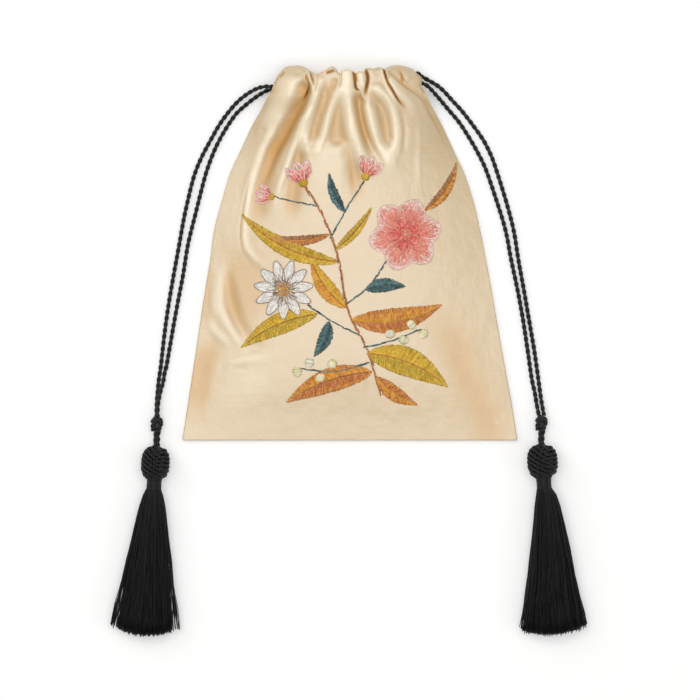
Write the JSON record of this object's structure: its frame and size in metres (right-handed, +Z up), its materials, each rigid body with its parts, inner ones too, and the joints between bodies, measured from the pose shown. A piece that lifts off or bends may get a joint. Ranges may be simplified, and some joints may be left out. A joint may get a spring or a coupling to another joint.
{
  "type": "drawstring bag",
  "caption": "Silk drawstring pouch lying on its back, its gathered mouth drawn in by twisted cords that end in knots, ball knots and thread tassels.",
  "frame": {"origin": "on the surface that the pouch lies on, under the middle of the pouch without its cords", "axes": "+X to the pouch's right, +Y from its bottom seam to its mouth, +Z up from the surface through the back and the front panel"},
  "size_m": [0.3111, 0.377, 0.0282],
  "materials": {
    "silk": "champagne silk taffeta with a fine slub",
    "cord_black": "twisted black cord, satin",
    "tassel_black": "black silk thread"
  },
  "bodies": {
    "root": {"front_panel": "silk", "back_panel": "silk", "drawcord_left_run": "cord_black", "drawcord_right_run": "cord_black", "drawcord_left_outer": "cord_black", "drawcord_left_inner": "cord_black", "drawcord_right_outer": "cord_black", "drawcord_right_inner": "cord_black", "cord_knot_left": "cord_black", "cord_knot_right": "cord_black", "tassel_left_ball": "cord_black", "tassel_right_ball": "cord_black", "tassel_left_neck": "tassel_black", "tassel_right_neck": "tassel_black", "tassel_left_skirt": "tassel_black", "tassel_right_skirt": "tassel_black"}
  },
  "joints": []
}
